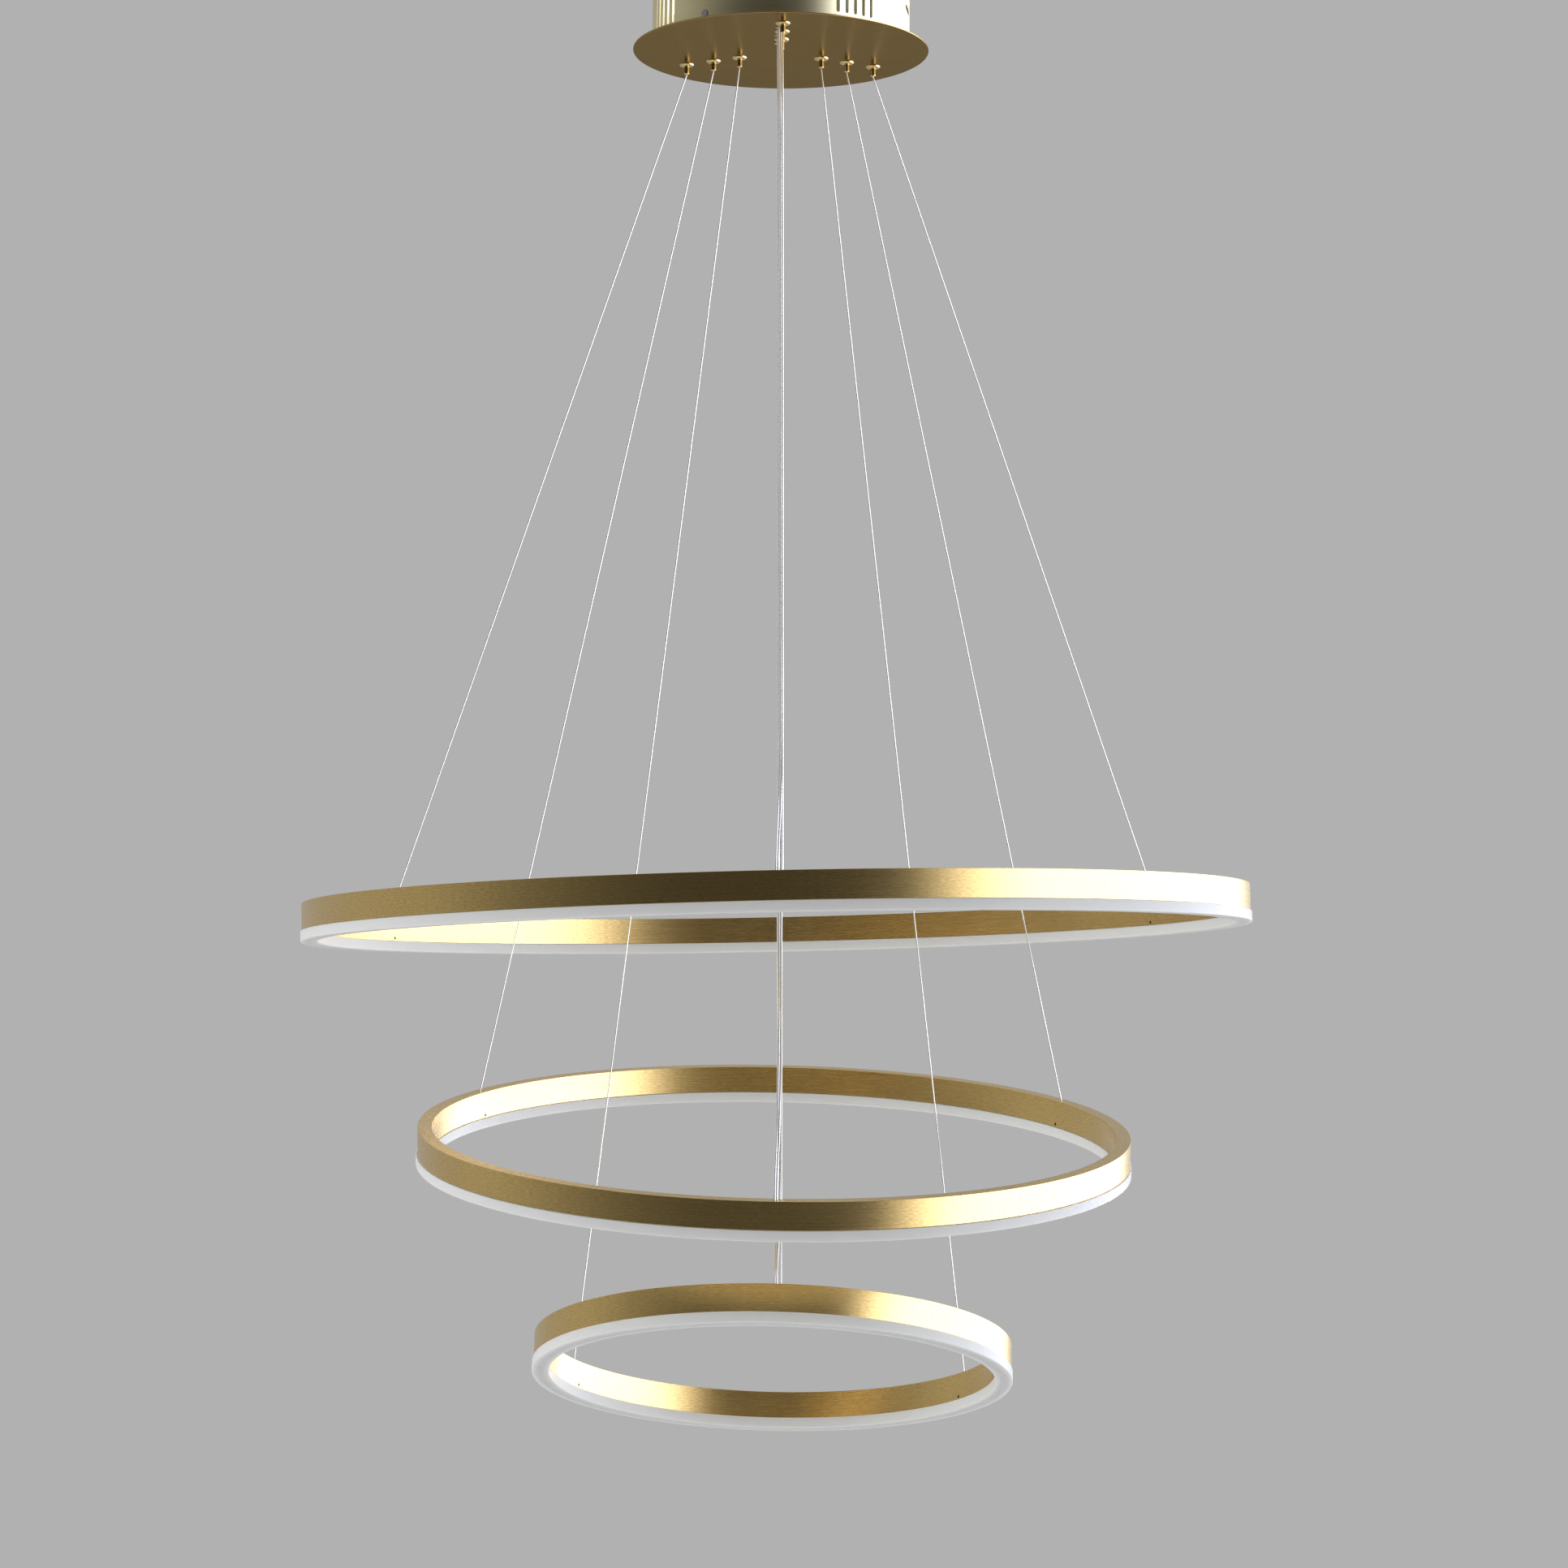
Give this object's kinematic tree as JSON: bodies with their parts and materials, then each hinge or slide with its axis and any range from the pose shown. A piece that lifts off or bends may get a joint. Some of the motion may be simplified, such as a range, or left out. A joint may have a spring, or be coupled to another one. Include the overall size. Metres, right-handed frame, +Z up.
{
  "type": "led pendant light",
  "caption": "Three tilted light rings hung on adjustable steel wires from a round ceiling canopy.",
  "frame": {"origin": "ceiling plane, on the axis of the round canopy, midway between the two ceiling screw holes", "axes": "+Z up into the ceiling, -Y to the front, where the power cords hang, +X to the right seen from the front"},
  "size_m": [0.8022, 0.8023, 1.2656],
  "materials": {
    "satin_plate": "satin anodised champagne gold sheet",
    "satin_drum": "fine brushed champagne gold sheet",
    "zinc": "zinc plated steel",
    "nylon": "moulded nylon",
    "brass_bare": "turned brass",
    "driver_case": "moulded white polycarbonate",
    "foam": "closed cell foam",
    "polished_gold": "polished brass",
    "steel": "bright steel",
    "clear_plastic": "clear moulded plastic",
    "brushed_gold": "gold anodised, brushed along the ring",
    "opal": "opal acrylic, satin",
    "board": "white solder mask",
    "chip": "phosphor coated lamp chip",
    "dark_steel": "blackened steel",
    "wire_steel": "stranded bright steel wire",
    "clear_cord": "clear flat twin cord"
  },
  "bodies": {
    "canopy": {"canopy_plate": "satin_plate", "plate_studs": "zinc", "canopy_drum": "satin_drum", "drum_nuts": "zinc", "ceiling_bracket": "zinc", "side_screws": "zinc", "terminal_block": "nylon", "terminal_screws": "brass_bare", "earth_screw": "brass_bare", "upper_driver": "driver_case", "middle_driver": "driver_case", "lower_driver": "driver_case", "driver_pads": "foam", "gripper_bodies": "polished_gold", "gripper_nuts": "polished_gold", "gripper_balls": "steel", "gripper_springs": "steel", "cord_bushings": "clear_plastic", "upper_rear_wires": "wire_steel", "middle_rear_wires": "wire_steel", "lower_rear_wires": "wire_steel"},
    "upper_hanger": {"upper_rear_anchors": "polished_gold"},
    "upper_ring": {"upper_profile": "brushed_gold", "upper_diffuser": "opal", "upper_light_board": "board", "upper_light_chips": "chip", "upper_joiner": "zinc", "upper_grub_screws": "dark_steel"},
    "upper_feed": {"upper_front_anchor": "polished_gold", "upper_front_wire": "wire_steel", "upper_power_cord": "clear_cord"},
    "upper_front_button": {"upper_front_plunger": "polished_gold"},
    "upper_right_button": {"upper_right_plunger": "polished_gold"},
    "upper_left_button": {"upper_left_plunger": "polished_gold"},
    "middle_hanger": {"middle_rear_anchors": "polished_gold"},
    "middle_ring": {"middle_profile": "brushed_gold", "middle_diffuser": "opal", "middle_light_board": "board", "middle_light_chips": "chip", "middle_joiner": "zinc", "middle_grub_screws": "dark_steel"},
    "middle_feed": {"middle_front_anchor": "polished_gold", "middle_front_wire": "wire_steel", "middle_power_cord": "clear_cord"},
    "middle_front_button": {"middle_front_plunger": "polished_gold"},
    "middle_right_button": {"middle_right_plunger": "polished_gold"},
    "middle_left_button": {"middle_left_plunger": "polished_gold"},
    "lower_hanger": {"lower_rear_anchors": "polished_gold"},
    "lower_ring": {"lower_profile": "brushed_gold", "lower_diffuser": "opal", "lower_light_board": "board", "lower_light_chips": "chip", "lower_joiner": "zinc", "lower_grub_screws": "dark_steel"},
    "lower_feed": {"lower_front_anchor": "polished_gold", "lower_front_wire": "wire_steel", "lower_power_cord": "clear_cord"},
    "lower_front_button": {"lower_front_plunger": "polished_gold"},
    "lower_right_button": {"lower_right_plunger": "polished_gold"},
    "lower_left_button": {"lower_left_plunger": "polished_gold"}
  },
  "joints": [
    {"name": "upper_height", "type": "slide", "parent": "canopy", "child": "upper_hanger", "axis": [0, 0, 1], "range_m": [0, 0.3], "deforming": ["upper_rear_wires", "upper_front_wire", "upper_power_cord"]},
    {"name": "upper_tilt", "type": "hinge", "parent": "upper_hanger", "child": "upper_ring", "pos_m": [0.00072, 0.19696, -0.80517], "axis": [0.9996, -0.0042, 0.0278], "range_deg": [-3, 3]},
    {"name": "upper_wire_swing", "type": "hinge", "parent": "upper_ring", "child": "upper_feed", "pos_m": [-0.00135, -0.39386, -0.81966], "axis": [0.9996, -0.0042, 0.0278], "range_deg": [-2.2, 2.2]},
    {"name": "upper_front_release", "type": "slide", "parent": "canopy", "child": "upper_front_button", "axis": [0, 0, 1], "range_m": [0, 0.0015], "stiffness_N_per_m": 300, "springref_m": -0.001},
    {"name": "upper_right_release", "type": "slide", "parent": "canopy", "child": "upper_right_button", "axis": [0, 0, 1], "range_m": [0, 0.0015], "stiffness_N_per_m": 300, "springref_m": -0.001},
    {"name": "upper_left_release", "type": "slide", "parent": "canopy", "child": "upper_left_button", "axis": [0, 0, 1], "range_m": [0, 0.0015], "stiffness_N_per_m": 300, "springref_m": -0.001},
    {"name": "middle_height", "type": "slide", "parent": "canopy", "child": "middle_hanger", "axis": [0, 0, 1], "range_m": [0, 0.3], "deforming": ["middle_rear_wires", "middle_front_wire", "middle_power_cord"]},
    {"name": "middle_tilt", "type": "hinge", "parent": "middle_hanger", "child": "middle_ring", "pos_m": [-0.00052, 0.14378, -0.9744], "axis": [0.9999, 0.0057, -0.0095], "range_deg": [-7, 0]},
    {"name": "middle_wire_swing", "type": "hinge", "parent": "middle_ring", "child": "middle_feed", "pos_m": [0.00102, -0.28692, -1.06912], "axis": [0.9999, 0.0057, -0.0095], "range_deg": [0, 5.9]},
    {"name": "middle_front_release", "type": "slide", "parent": "canopy", "child": "middle_front_button", "axis": [0, 0, 1], "range_m": [0, 0.0015], "stiffness_N_per_m": 300, "springref_m": -0.001},
    {"name": "middle_right_release", "type": "slide", "parent": "canopy", "child": "middle_right_button", "axis": [0, 0, 1], "range_m": [0, 0.0015], "stiffness_N_per_m": 300, "springref_m": -0.001},
    {"name": "middle_left_release", "type": "slide", "parent": "canopy", "child": "middle_left_button", "axis": [0, 0, 1], "range_m": [0, 0.0015], "stiffness_N_per_m": 300, "springref_m": -0.001},
    {"name": "lower_height", "type": "slide", "parent": "canopy", "child": "lower_hanger", "axis": [0, 0, 1], "range_m": [0, 0.3], "deforming": ["lower_rear_wires", "lower_front_wire", "lower_power_cord"]},
    {"name": "lower_tilt", "type": "hinge", "parent": "lower_hanger", "child": "lower_ring", "pos_m": [-0.00155, 0.09361, -1.20938], "axis": [0.9996, 0.0095, -0.0259], "range_deg": [0, 10]},
    {"name": "lower_wire_swing", "type": "hinge", "parent": "lower_ring", "child": "lower_feed", "pos_m": [0.00302, -0.18798, -1.13614], "axis": [0.9996, 0.0095, -0.0259], "range_deg": [-10.2, 0]},
    {"name": "lower_front_release", "type": "slide", "parent": "canopy", "child": "lower_front_button", "axis": [0, 0, 1], "range_m": [0, 0.0015], "stiffness_N_per_m": 300, "springref_m": -0.001},
    {"name": "lower_right_release", "type": "slide", "parent": "canopy", "child": "lower_right_button", "axis": [0, 0, 1], "range_m": [0, 0.0015], "stiffness_N_per_m": 300, "springref_m": -0.001},
    {"name": "lower_left_release", "type": "slide", "parent": "canopy", "child": "lower_left_button", "axis": [0, 0, 1], "range_m": [0, 0.0015], "stiffness_N_per_m": 300, "springref_m": -0.001}
  ],
  "couplings": [
    {"joint": "upper_wire_swing", "follows": "upper_tilt", "ratio": -0.7},
    {"joint": "middle_wire_swing", "follows": "middle_tilt", "ratio": -0.83},
    {"joint": "lower_wire_swing", "follows": "lower_tilt", "ratio": -1.01}
  ]
}
